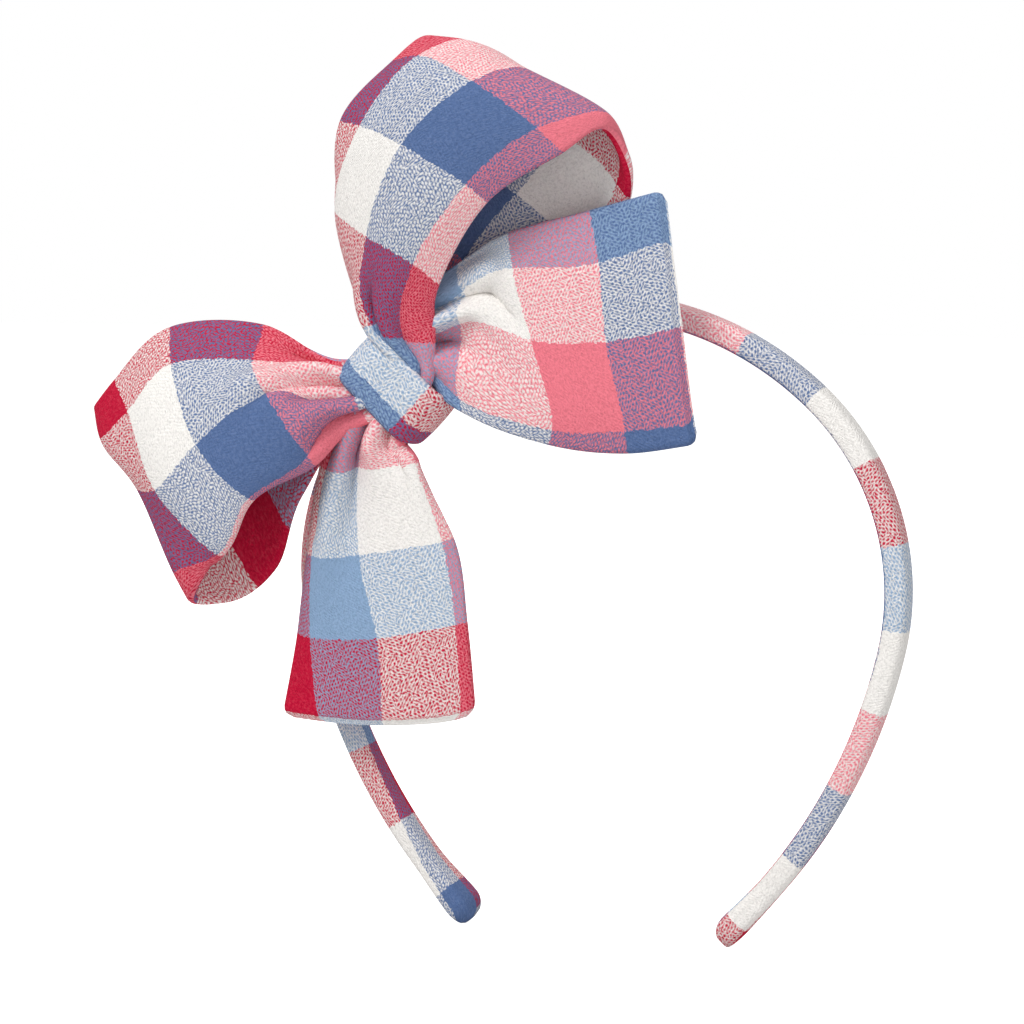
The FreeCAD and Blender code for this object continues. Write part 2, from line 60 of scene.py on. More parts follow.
class Socket:
    # one output of a node, so that arithmetic on it adds Math nodes
    def __init__(self, maker, link):
        self.maker = maker
        self.link = link

    def math(self, operation, other=None, third=None):
        values = [value for value in (self, other, third) if value is not None]
        return self.maker.node("ShaderNodeMath", {"operation": operation}, dict(enumerate(values)))

    def __add__(self, other):
        return self.math("ADD", other)

    def __sub__(self, other):
        return self.math("SUBTRACT", other)

    def __rsub__(self, other):
        return self.maker.node("ShaderNodeMath", {"operation": "SUBTRACT"}, {0: other, 1: self})

    def __mul__(self, other):
        return self.math("MULTIPLY", other)

    def __truediv__(self, other):
        return self.math("DIVIDE", other)

    __radd__ = __add__
    __rmul__ = __mul__


class Material:
    def __init__(self, name):
        self.material = bpy.data.materials.new(name)
        self.material.use_nodes = True
        self.tree = self.material.node_tree
        self.surface = self.tree.nodes["Principled BSDF"]

    def node(self, kind, settings=None, inputs=None, output=0):
        made = self.tree.nodes.new(kind)
        for key, value in (settings or {}).items():
            if key == "stops":
                ramp = made.color_ramp
                for index, (place, colour) in enumerate(value):
                    stop = ramp.elements[index] if index < 2 else ramp.elements.new(place)
                    stop.position = place
                    stop.color = colour
            elif key == "interpolation":
                made.color_ramp.interpolation = value
            else:
                setattr(made, key, value)
        for key, value in (inputs or {}).items():
            if isinstance(value, Socket):
                self.tree.links.new(value.link, made.inputs[key])
            else:
                made.inputs[key].default_value = value
        return Socket(self, made.outputs[output])

    def mix(self, factor, first, second, blend="MIX"):
        return self.node("ShaderNodeMix", {"data_type": "RGBA", "blend_type": blend},
                         {0: factor, 6: first, 7: second}, output=2)

    def noise(self, vector, scale, detail, distortion=0.0):
        return self.node("ShaderNodeTexNoise", None, {
            "Vector": vector, "Scale": scale, "Detail": detail, "Distortion": distortion})

    def split(self, vector):
        made = self.tree.nodes.new("ShaderNodeSeparateXYZ")
        self.tree.links.new(vector.link, made.inputs[0])
        return [Socket(self, made.outputs[index]) for index in range(3)]

    def feed(self, **inputs):
        for name, value in inputs.items():
            socket = self.surface.inputs[name.replace("_", " ")]
            if isinstance(value, Socket):
                self.tree.links.new(value.link, socket)
            else:
                socket.default_value = value


def shade(red, green, blue):
    # a colour written as on screen, 0 to 255, turned to the linear light that nodes take
    def linear(value):
        value /= 255
        return value / 12.92 if value <= 0.04045 else ((value + 0.055) / 1.055) ** 2.4
    return (linear(red), linear(green), linear(blue), 1.0)


def darker(colour, share):
    return tuple(share * part for part in colour[:3]) + (1.0,)


flannel = {
    "square": 19.5,         # width of one band of the check, mm
    "pink": (247, 134, 149),
    "navy": (95, 121, 168),
    "white": (252, 249, 245),
    "crimson": (207, 10, 60),
    "lightBlue": (149, 178, 211),
    "order": ("pink", "navy", "white", "crimson", "lightBlue", "white"),
    "edgeGrain": 0.9,       # how fine the wander of a band's edge is, per mm
    "edgeWander": 1.5,      # span of that wander, mm
    "grainWidth": 0.66,     # pitch of the rows of floats, mm
    "grainLength": 1.25,    # pitch of the floats along a row, mm
    "stagger": 0.47,        # how far each row steps on from the last, in floats
    "slant": 27.0,          # how far the floats lean from the threads, degrees
    "driftGrain": 0.45,     # how fine the drift of the rows is, per mm
    "drift": 1.0,           # span of that drift, mm
    "patch": 2.3,           # size of the patches where the floats run one way, mm
    "breakGrain": 1.5,      # how fine the breaks between the floats are, per mm
    "breaks": 4.2,          # how strongly they break the rows
    "cross": 1.1,           # how softly one thread gives way to the other
    "through": 0.13,        # share of painted shade between the threads, from their two colours multiplied
    "fibre": 0.6,           # size of the tufts of brushed fibre, mm
    "fuzzGrain": 0.35,      # how fine the longer fuzz is, per mm
    "napSheen": (252, 250, 250),
    "tipSheen": 0.04,        # share of that colour, as painted sheen, at the tips of the fibres
    "hollowShade": 0.4,         # share of black, as painted shade, in the hollows between them
    "tips": (0.45, 3.0),    # where the sheened tips begin, and how fast they grow; the next, the same for the shaded hollows
    "hollows": (0.56, 1.8),
    # share of painted sheen that the longer fuzz adds
    "fuzz": 0.08,
    "relief": (0.3, 1.1, 0.4),      # heights of the weave, the fibres and the fuzz
    "napHeight": 0.3,       # height of the whole relief, mm
    "bump": 0.7,
    "roughness": 0.94,
    "sheen": 0.02,
    "sheenRoughness": 0.6,
    "gloss": 0.08,
}


def plaidFlannel(name, values):
    cloth = Material(name)
    place = cloth.node("ShaderNodeUVMap", {"uv_map": "cloth"})
    millimetres = cloth.node(
        "ShaderNodeVectorMath", {"operation": "SCALE"}, {0: place, "Scale": 1 / millimetre})
    length, across, unused = cloth.split(millimetres)

    def wander(scale, size, detail):
        made = cloth.split(cloth.node("ShaderNodeTexNoise", None, {
            "Vector": millimetres, "Scale": scale, "Detail": detail}, output=1))
        return (made[0] - 0.5) * size, (made[1] - 0.5) * size

    order = values["order"]
    stops = [(index / len(order), shade(*values[colour])) for index, colour in enumerate(order)]

    def bands(where):
        share = (where / (values["square"] * len(order))).math("FRACT")
        settings = {"interpolation": "CONSTANT", "stops": stops}
        return cloth.node("ShaderNodeValToRGB", settings, {0: share})

    alongEdge, acrossEdge = wander(values["edgeGrain"], values["edgeWander"], 3.0)
    weft = bands(length + alongEdge)
    warp = bands(across + acrossEdge)

    # short floats of thread, which lie along the cloth in one patch and across it in the next
    lean = math.radians(values["slant"])
    upDrift, downDrift = wander(values["driftGrain"], values["drift"], 2.0)
    up = length * math.cos(lean) + across * math.sin(lean) + upDrift
    down = across * math.cos(lean) - length * math.sin(lean) + downDrift

    def floats(rowPlace, floatPlace):
        turn = 2 * math.pi
        row = rowPlace / values["grainWidth"]
        step = row.math("ROUND") * values["stagger"]
        ridge = (row * turn).math("COSINE")
        grain = ((floatPlace / values["grainLength"] + step) * turn).math("COSINE")
        return ridge * 0.5 + grain * 0.5

    patches = cloth.node("ShaderNodeTexVoronoi", None, {
        "Vector": millimetres, "Scale": 1 / values["patch"], "Randomness": 1.0}, output=1)
    turned = cloth.split(patches)[0].math("GREATER_THAN", 0.5)
    risen, fallen = floats(up, down), floats(down, up)
    woven = fallen * turned + risen * (1 - turned)
    broken = (cloth.noise(millimetres, values["breakGrain"], 3.0) - 0.5) * values["breaks"]
    over = cloth.node("ShaderNodeMapRange", {"interpolation_type": "SMOOTHSTEP"}, {
        "Value": woven + broken, "From Min": -values["cross"], "From Max": values["cross"]})
    colour = cloth.mix(over, warp, weft)
    # painted shade between the threads: their two colours multiplied, mixed in a little
    colour = cloth.mix(values["through"], colour, cloth.mix(1.0, warp, weft, "MULTIPLY"))
    # brushed nap: painted sheen on the raised tips of the fibres and on the longer fuzz over them,
    # painted shade in the hollows between the fibres
    fibres = cloth.noise(millimetres, 1 / values["fibre"], 2.0, 0.8)
    fuzz = cloth.noise(millimetres, values["fuzzGrain"], 3.0)
    # painted sheen where the fibres' relief rises and painted shade where it sinks
    pale = cloth.mix(values["tipSheen"], colour, shade(*values["napSheen"]))
    dark = cloth.mix(values["hollowShade"], colour, black)
    tipStart, tipGrowth = values["tips"]
    hollowStart, hollowGrowth = values["hollows"]
    tips = ((fibres - tipStart) * tipGrowth).math("MAXIMUM", 0.0)
    hollows = ((hollowStart - fibres) * hollowGrowth).math("MAXIMUM", 0.0)
    colour = cloth.mix(tips, colour, pale)
    colour = cloth.mix(hollows, colour, dark)
    colour = cloth.mix(fuzz * values["fuzz"], colour, pale)
    weaveHeight, fibreHeight, fuzzHeight = values["relief"]
    bump = cloth.node("ShaderNodeBump", None, {
        "Strength": values["bump"], "Distance": values["napHeight"] * millimetre,
        "Height": woven * weaveHeight + fibres * fibreHeight + fuzz * fuzzHeight})
    cloth.feed(Base_Color=colour, Normal=bump, Roughness=values["roughness"],
               Sheen_Weight=values["sheen"], Sheen_Roughness=values["sheenRoughness"],
               Specular_IOR_Level=values["gloss"])
    return cloth.material


# for each, how fine its cells and fibres are, per metre, and the height of its relief, mm
small = {
    "felt": {"colour": (226, 222, 216), "grain": 900.0, "fibre": 260.0,
             "height": 0.25, "roughness": 0.95},
    "foam": {"colour": (233, 229, 214), "grain": 1400.0, "fibre": 500.0,
             "height": 0.2, "roughness": 0.9},
    "plastic": {"colour": (208, 208, 204), "grain": 300.0, "fibre": 80.0,
                "height": 0.02, "roughness": 0.45},
}
mottle = {
    "dark": 0.72,           # brightness of the painted shade at the deepest spots
    "reliefShade": 0.6,           # how far the low places of the fibre relief are darkened, as painted shade
    "cells": 0.6,           # their shares of the relief
    "fibres": 0.8,
    "bump": 0.6,
    "roughSpan": 0.1,
    "gloss": 0.25,
}
thread = {
    "colour": (236, 229, 224),
    "dark": 0.6,            # brightness of the painted shade between the plies
    "twist": 0.45,          # pitch of the thread's twist, mm
    "lean": 0.7,
    "ply": 0.75,            # share of the plies in the colour, the rest is fuzz
    "fuzzGrain": 2200.0,
    "fuzzHeight": 0.5,
    "height": 0.08,
    "bump": 0.7,
    "roughness": 0.7,
    "gloss": 0.3,
}


def mottled(name, values):
    # a matt surface of fine cells and longer fibres, with painted shade where the fibres' relief
    # is low
    made = Material(name)
    place = made.node("ShaderNodeTexCoord", output=3)
    cells = made.noise(place, values["grain"], 3.0)
    fibres = made.noise(place, values["fibre"], 4.0, 1.5)
    base = shade(*values["colour"])
    # painted shade: darker where the fibres' relief is low
    colour = made.mix((1 - fibres) * mottle["reliefShade"], base, darker(base, mottle["dark"]))
    bump = made.node("ShaderNodeBump", None, {
        "Strength": mottle["bump"], "Distance": values["height"] * millimetre,
        "Height": cells * mottle["cells"] + fibres * mottle["fibres"]})
    span = mottle["roughSpan"]
    made.feed(Base_Color=colour, Normal=bump, Specular_IOR_Level=mottle["gloss"],
              Roughness=cells * span + (values["roughness"] - span / 2))
    return made.material


def twisted(name, values):
    # spun thread: slanting plies, with painted shade between them
    made = Material(name)
    place = made.node("ShaderNodeTexCoord", output=3)
    x, y, z = made.split(place)
    turns = (x + y * values["lean"] + z) * (2 * math.pi / (values["twist"] * millimetre))
    ply = turns.math("SINE") * 0.5 + 0.5
    fuzz = made.noise(place, values["fuzzGrain"], 2.0)
    base = shade(*values["colour"])
    # painted shade between the plies, broken a little by the fuzz
    colour = made.mix(ply * values["ply"] + fuzz * (1 - values["ply"]),
                      darker(base, values["dark"]), base)
    bump = made.node("ShaderNodeBump", None, {
        "Strength": values["bump"], "Distance": values["height"] * millimetre,
        "Height": ply + fuzz * values["fuzzHeight"]})
    made.feed(Base_Color=colour, Normal=bump, Roughness=values["roughness"],
              Specular_IOR_Level=values["gloss"])
    return made.material


def finishNodes():
    # the solids that stay as they are take their finish here
    felt, foam, plastic = (mottled(name, small[name]) for name in ("felt", "foam", "plastic"))
    spun = twisted("thread", thread)
    finishes = {"felt_pad": felt, "band_padding": foam, "band_core": plastic,
                "gather_thread": spun, "wrap_stitches": spun}
    for name, finish in finishes.items():
        nodes[name].data.materials.clear()
        nodes[name].data.materials.append(finish)
    print("finishes", len(finishes))


def curveThrough(knots, points, at):
    # a smooth curve through points at uneven knots, read at the places asked
    knots = np.asarray(knots, float)
    points = np.asarray(points, float)
    at = np.clip(np.asarray(at, float), knots[0], knots[-1])
    steps = np.diff(knots)
    slopes = np.diff(points, axis=0) / steps.reshape((-1,) + (1,) * (points.ndim - 1))
    tangents = np.empty_like(points)
    tangents[0], tangents[-1] = slopes[0], slopes[-1]
    before = steps[:-1].reshape((-1,) + (1,) * (points.ndim - 1))
    after = steps[1:].reshape((-1,) + (1,) * (points.ndim - 1))
    tangents[1:-1] = (slopes[:-1] * after + slopes[1:] * before) / (before + after)
    span = np.clip(np.searchsorted(knots, at, side="right") - 1, 0, len(steps) - 1)
    share = ((at - knots[span]) / steps[span]).reshape((-1,) + (1,) * (points.ndim - 1))
    size = steps[span].reshape((-1,) + (1,) * (points.ndim - 1))
    return ((2 * share ** 3 - 3 * share ** 2 + 1) * points[span]
            + (share ** 3 - 2 * share ** 2 + share) * size * tangents[span]
            + (3 * share ** 2 - 2 * share ** 3) * points[span + 1]
            + (share ** 3 - share ** 2) * size * tangents[span + 1])


def eased(share):
    return share * share * (3 - 2 * share)


def normalsOf(grid):
    along = np.gradient(grid, axis=0)
    across = np.gradient(grid, axis=1)
    normal = np.cross(along, across)
    return normal / np.maximum(np.linalg.norm(normal, axis=2, keepdims=True), 1e-9)


bow = {
    "crown": 76.0,          # radius of the hoop's crown, mm
    "inset": 5.7,           # the bow's axis lies this far inside that radius, mm
    "knotAngle": 128.5,     # where the knot sits on the crown, degrees
    "turn": 46.5,           # how far the bow's long axis is turned up from level
    "step": 0.9,            # size of a mesh face, mm
    "evenness": 0.5,        # 1 spaces the faces evenly across, 0 crowds them to the edges
    "ribbonThickness": 2.3,
    "edgeRound": 1.5,       # how far in from an edge the cloth is rounded, mm
    "rollStart": 1.2,       # where the hem's roll begins, in those roundings
}


def placeInBow(points):
    # from the bow's own along, away-from-head and forward to the row frame, in metres
    angle = math.radians(bow["knotAngle"])
    radius = bow["crown"] - bow["inset"]
    turn = math.radians(bow["turn"])
    along, away, forward = points[..., 0], points[..., 1], points[..., 2]
    x = radius * math.cos(angle) + along * math.cos(turn) - away * math.sin(turn)
    z = radius * math.sin(angle) + along * math.sin(turn) + away * math.cos(turn)
    return np.stack([x, -forward, z], axis=-1) * millimetre


def meshPiece(name, vertices, faces, corners, material):
    # corners holds the cloth coordinates of each face corner, in metres
    mesh = bpy.data.meshes.new(name)
    mesh.from_pydata([tuple(vertex) for vertex in vertices], [], faces)
    layer = mesh.uv_layers.new(name="cloth")
    layer.data.foreach_set("uv", np.asarray(corners, np.float32).ravel())
    mesh.polygons.foreach_set("use_smooth", [True] * len(mesh.polygons))
    mesh.materials.append(material)
    mesh.update()
    if signedVolume(mesh) < 0:
        mesh.flip_normals()
    piece = bpy.data.objects.new(name, mesh)
    bpy.context.scene.collection.objects.link(piece)
    return piece


def signedVolume(mesh):
    total = 0.0
    for polygon in mesh.polygons:
        points = [mesh.vertices[index].co for index in polygon.vertices]
        for second, third in zip(points[1:], points[2:]):
            total += points[0].dot(second.cross(third)) / 6
    return total


def shellOf(rows, ring, placeOnCloth, closedAlong=False):
    # the faces between rings of vertices, and where each of their corners lies on the cloth;
    # placeOnCloth takes a row, a column and the column at which the face starts
    faces, corners = [], []
    for i in range(rows if closedAlong else rows - 1):
        for j in range(ring):
            k = (j + 1) % ring
            n = (i + 1) % rows
            faces.append((i * ring + j, i * ring + k, n * ring + k, n * ring + j))
            for row, column in ((i, j), (i, j + 1), (i + 1, j + 1), (i + 1, j)):
                corners.append(placeOnCloth(row, column, j))
    return faces, corners


def clothPlace(layout, length, across):
    # where a point lies on the bolt of cloth, in metres, from the way a piece was cut:
    # the way it runs along the weft and its start there, then the same for the warp
    weftWay, weftStart, warpWay, warpStart = layout
    return ((weftWay * length + weftStart) * millimetre,
            (warpWay * across + warpStart) * millimetre)


def ribbonPiece(name, values, material):
    # a turned tube of cloth: an outer face and a lining that meet at rounded edges
    lengths = [row[0] for row in values["rows"]]
    net = np.array([row[1:] for row in values["rows"]], float)
    columns = values["columns"]
    rows = int((lengths[-1] - lengths[0]) / bow["step"]) + 1
    counts = int((columns[-1] - columns[0]) / bow["step"]) + 1
    length = np.linspace(lengths[0], lengths[-1], rows)
    # places across are closer together near the edges, where the cloth turns
    crowded = columns[-1] * (1 - np.cos(np.linspace(0, math.pi, counts))) / 2
    even = np.linspace(0, columns[-1], counts)
    across = (1 - bow["evenness"]) * crowded + bow["evenness"] * even
    rolled = length.copy()
    if values.get("hem"):
        rollStart = length[-1] - bow["edgeRound"] * bow["rollStart"]
        rolled += values["hemRoll"] * np.clip((length - rollStart) / bow["edgeRound"], 0, 1)
    rails = curveThrough(lengths, net, length)
    grid = np.swapaxes(curveThrough(columns, np.swapaxes(rails, 0, 1), across), 0, 1)
    if values.get("hem"):
        grid = roundedCorners(grid, length, across, values["corner"])
    side = values["side"]
    normal = normalsOf(grid) * side
    grid = grid + normal * folds(values, length, across)[..., None]
    normal = normalsOf(grid) * side
    edge = np.minimum(across, columns[-1] - across) / bow["edgeRound"]
    half = bow["ribbonThickness"] / 2 * np.sqrt(1 - (1 - np.clip(edge, 0, 1)) ** 2)
    half = np.repeat(half[None, :], rows, axis=0)
    if values.get("hem"):
        close = np.clip((lengths[-1] - length) / bow["edgeRound"], 0, 1)
        half = half * np.sqrt(1 - (1 - close) ** 2)[:, None]
    outer = placeInBow(grid + normal * half[..., None])
    inner = placeInBow(grid - normal * half[..., None])
    ring = np.concatenate([outer, inner[:, ::-1][:, 1:-1]], axis=1)
    size = ring.shape[1]
    faces, corners = shellOf(rows, size, twoFaced(values, rolled, across))
    # close both ends
    for row in (0, rows - 1):
        cap = list(range(row * size, (row + 1) * size))
        for j in range(size // 2):
            a, b = cap[j], cap[j + 1]
            c, d = cap[(size - j - 1) % size], cap[(size - j) % size]
            quad = [a, d, c, b] if row == 0 else [a, b, c, d]
            quad = [index for position, index in enumerate(quad) if index not in quad[:position]]
            if len(quad) < 3:
                continue
            faces.append(tuple(quad))
            place = clothPlace(values["facing"], length[row], across[min(j, counts - 1)])
            corners += [place] * len(quad)
    return meshPiece(name, ring.reshape(-1, 3), faces, corners, material)


def twoFaced(values, along, across):
    # the outer face is cut from one place of the cloth and the inner face from another
    turn = len(across) - 1

    def place(row, column, start):
        if start < turn:
            return clothPlace(values["facing"], along[row], across[column])
        return clothPlace(values["lining"], along[row], across[2 * turn - column])
    return place


def roundedCorners(grid, length, across, radius):
    # draw the last rows in towards their middle, so that the end's corners are round
    middle = across[-1] / 2
    grid = grid.copy()
    for row, place in enumerate(length):
        reach = (place - (length[-1] - radius)) / radius
        if reach > 0:
            drawn = 1 - (1 - math.sqrt(max(0.0, 1 - reach ** 2))) * radius / middle
            at = middle + (across - middle) * drawn
            grid[row] = np.stack(
                [np.interp(at, across, grid[row][:, axis]) for axis in range(3)], axis=1)
    return grid


def folds(values, length, across):
    # heights of the pleats that run out of the knot, mm along the cloth's normal
    height = np.zeros((len(length), len(across)))
    width = values["columns"][-1]
    for fold in values.get("folds", ()):
        reach = np.abs(length - fold["at"])
        fade = eased(np.clip(1 - reach / fold["reach"], 0, 1))
        middle = fold["across"][0] + (fold["across"][1] - fold["across"][0]) * np.clip(
            reach / fold["reach"], 0, 1)
        offset = (across[None, :] - middle[:, None]) / fold["width"]
        height += fold["height"] * fade[:, None] * np.exp(-offset ** 2)
    gather = values["gather"]
    for end in gather["ends"]:
        fade = np.exp(-(np.abs(length - end) / gather["reach"]) ** 2)
        wave = np.sin(across / width * math.pi * gather["pleats"] * 2 + gather["phase"])
        height += gather["height"] * fade[:, None] * wave[None, :]
    return height


# a ribbon's columns are places across its cloth, and each of its rows is a place along it with
# a point for every column: along the bow, away from the head and forward, all in mm
rightLoop = {
    "side": 1,              # which face of the rows is the outer one
    "columns": (0, 12, 31.5, 51, 59),
    "rows": [
        (0, (0.5, -7, 12), (0.5, -4, 12), (0.5, 1, 12), (0.5, 6, 12), (0.5, 8, 12)),
        (8, (8, -5, 12), (8, -2, 13), (7, 3, 14), (6, 9, 13), (5, 11, 11)),
        (14, (14, -1, 13), (10, 4, 15), (8, 11, 16), (8, 13, 13), (7.5, 15, 10)),
        (33.5, (25, 6, 17), (25, 13, 21), (22, 24, 21), (20, 34, 16), (20, 35, 11)),
        (53, (47, 9, 22), (47, 15, 25), (43, 31, 25), (38, 42, 20), (34, 48, 14)),
        (72.5, (66, 4, 22), (66, 12, 24), (63, 29, 24), (57, 43, 19), (51, 48, 14)),
        (86, (76, 1, 18), (77, 5, 18), (71, 25, 18), (66, 39, 16), (60, 47, 13)),
        (95, (73, -6, 13), (76, 2, 13), (71, 22, 12), (66, 36, 11), (60, 45, 10)),
        (112, (62, -13, 9), (61, -1, 6), (57, 18, 5), (51, 36, 5), (46, 44, 7)),
        (137, (36, -11, 7), (37, 0, 5), (36, 16, 4.5), (31, 31, 5), (27, 38, 7)),
        (165, (8, -6, 7), (7, -1, 7), (6, 5, 7), (5, 10, 7), (4, 13, 7)),
        (173, (0.5, -7, 7), (0.5, -4, 7), (0.5, 1, 7), (0.5, 6, 7), (0.5, 8, 7)),
    ],
    # how each face was cut from the bolt, as clothPlace takes it
    "facing": (-1, 93, 1, 8.5),
    "lining": (-1, 46, -1, 63),
    # creases and ridges: where along the cloth, how far they reach, the place across at
    # that point and at the far end, their width, and their height out of the cloth
    "folds": (
        {"at": 10, "reach": 20, "across": (26, 24), "width": 3, "height": -3},
        {"at": 10, "reach": 20, "across": (36, 40), "width": 4, "height": 1.6},
        {"at": 12, "reach": 22, "across": (8, 6), "width": 4, "height": 1.2},
    ),
    # fine pleats: the places along the cloth they fade from, and how far they reach
    "gather": {"ends": (8, 165), "reach": 14, "height": 1.3, "pleats": 4, "phase": 0.5},
}
leftLoop = {
    "side": -1,
    "columns": (0, 8, 27.5, 47, 59),
    "rows": [
        (0, (-0.5, -7, 12), (-0.5, -4, 12), (-0.5, 1, 12), (-0.5, 6, 12), (-0.5, 8, 12)),
        (8, (-11, 0, 12), (-10, 2, 13), (-9, 6, 14), (-7, 11, 12), (-6, 14, 11)),
        (27, (-25, 1, 17), (-24, 2, 20), (-20, 18, 23), (-19, 27, 17), (-13, 33, 10)),
        (46.5, (-38, 5, 22), (-39, 5, 24), (-39, 21, 25), (-33, 40, 18), (-30, 49, 10)),
        (66, (-53, 2, 22), (-54, 2, 23), (-54, 22, 23), (-48, 40, 19), (-48, 50, 12)),
        (76, (-68, 0, 18), (-66, 7, 18), (-59, 27, 17), (-58, 42, 15), (-55, 50, 11)),
        (85, (-66, -4, 11), (-65, 4, 12), (-59, 28, 11), (-56, 44, 10), (-54, 51, 8)),
        (105, (-52, -7, 8), (-49, 8, 5), (-47, 29, 5), (-45, 45, 5), (-36, 49, 7)),
        (125, (-36, 0, 7), (-34, 9, 5), (-31, 23, 5), (-30, 33, 5), (-22, 35, 7)),
        (145, (-13, 2, 7), (-12, 4, 7), (-11, 8, 7), (-10, 12, 7), (-9, 14, 7)),
        (156, (-0.5, -7, 7), (-0.5, -4, 7), (-0.5, 1, 7), (-0.5, 6, 7), (-0.5, 8, 7)),
    ],
    "facing": (1, -6.5, 1, 11.5),
    "lining": (1, -38.5, -1, 68),
    "folds": (
        {"at": 12, "reach": 30, "across": (46, 28), "width": 3.5, "height": 2.4},
        {"at": 12, "reach": 28, "across": (37, 21), "width": 3, "height": -3.2},
        {"at": 12, "reach": 20, "across": (20, 14), "width": 3.5, "height": 1.6},
        {"at": 12, "reach": 20, "across": (12, 8), "width": 2.5, "height": -2.2},
        {"at": 12, "reach": 20, "across": (54, 52), "width": 2.5, "height": -1.4},
    ),
    "gather": {"ends": (8, 145), "reach": 14, "height": 1.3, "pleats": 4, "phase": 0.2},
}
rightTail = {
    "side": 1,
    "hem": True,
    "corner": 3.0,          # radius of the corners at the free end, mm
    "hemRoll": 3.0,         # cloth rolled into the free end, mm
    "columns": (0, 4, 23.5, 43, 55),
    "rows": [
        (0, (0.5, -7, 9.5), (0.5, -4, 9.5), (0.5, 1, 9.5), (0.5, 6, 9.5), (0.5, 8, 9.5)),
        (8, (8, -4, 10), (8, -2, 11), (6, 4, 11), (5, 10, 10), (5, 11, 10)),
        (20, (8, -16, 12), (9, -14, 12), (22, -2, 12), (28, 2, 13), (31, 7, 11)),
        (38, (16, -34, 12), (19, -33, 13), (30, -17, 14), (38, -3, 13), (43, 4, 12)),
        (57, (27, -48, 12), (30, -45, 13), (41, -29, 14), (52, -16, 14), (59, -6, 13)),
        (76, (41, -59, 13), (43, -56, 13), (56, -40, 14), (68, -25, 14), (75, -16, 13)),
    ],
    "facing": (1, -39, -1, 24.5),
    "lining": (1, -39, -1, 24.5),
    "folds": (
        {"at": 14, "reach": 30, "across": (42, 26), "width": 3.2, "height": -5},
        {"at": 16, "reach": 34, "across": (50, 37), "width": 4.5, "height": 2.2},
        {"at": 15, "reach": 27, "across": (31, 19), "width": 4.5, "height": 2.4},
        {"at": 13, "reach": 15, "across": (19, 15), "width": 2.8, "height": -4.4},
        {"at": 14, "reach": 24, "across": (10, 8), "width": 4, "height": 1.6},
    ),
    "gather": {"ends": (8,), "reach": 14, "height": 1.5, "pleats": 4, "phase": 1.0},
}
lowerTail = {
    "side": -1,
    "hem": True,
    "corner": 3.0,
    "hemRoll": 3.0,
    "columns": (0, 6, 25, 44, 53),
    "rows": [
        (0, (-0.5, -7, 9.5), (-0.5, -4, 9.5), (-0.5, 1, 9.5), (-0.5, 6, 9.5), (-0.5, 8, 9.5)),
        (8, (-9, -9, 10), (-9, -8, 11), (-10, -1, 12), (-10, 6, 11), (-10, 11, 10)),
        (22, (-10, -15, 11), (-10, -15, 13), (-20, -6, 11), (-26, -1, 12), (-26, 1, 9)),
        (42, (-15, -34, 11), (-18, -32, 13), (-35, -20, 11), (-42, -13, 12), (-43, -11, 9)),
        (61.5, (-26, -49, 12), (-29, -47, 13), (-45, -36, 12), (-56, -25, 12), (-58, -22, 11)),
        (81, (-39, -64, 12), (-43, -62, 13), (-58, -50, 12), (-68, -39, 13), (-74, -32, 12)),
    ],
    "facing": (-1, 22, -1, 4.5),
    "lining": (-1, 22, -1, 4.5),
    "folds": (
        {"at": 18, "reach": 40, "across": (28, 24), "width": 4, "height": -3},
        {"at": 17, "reach": 26, "across": (43, 42), "width": 4.5, "height": -4.6},
        {"at": 16, "reach": 36, "across": (33, 36), "width": 4, "height": 1.8},
        {"at": 12, "reach": 22, "across": (19, 17), "width": 3, "height": 1.8},
        {"at": 12, "reach": 18, "across": (11, 8), "width": 2.4, "height": -2},
        {"at": 12, "reach": 22, "across": (4, 3), "width": 3, "height": 1.2},
    ),
    "gather": {"ends": (8,), "reach": 14, "height": 1.2, "pleats": 4, "phase": 0.0},
}

finishNodes()
cloth = plaidFlannel("plaidFlannel", flannel)


def dress(piece, *replaced):
    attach(piece, "root")
    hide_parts(*replaced)


ribbons = (("right_loop", rightLoop), ("left_loop", leftLoop),
           ("right_tail", rightTail), ("lower_tail", lowerTail))
for nodeName, values in ribbons:
    piece = ribbonPiece(nodeName + "_cloth", values, cloth)
    dress(piece, nodeName, nodeName + "_interfacing", nodeName + "_lining")
    wide = values["columns"][-1] * millimetre
    long = (values["rows"][-1][0] - values["rows"][0][0]) * millimetre
    print("ribbon", nodeName, len(piece.data.polygons), "faces")


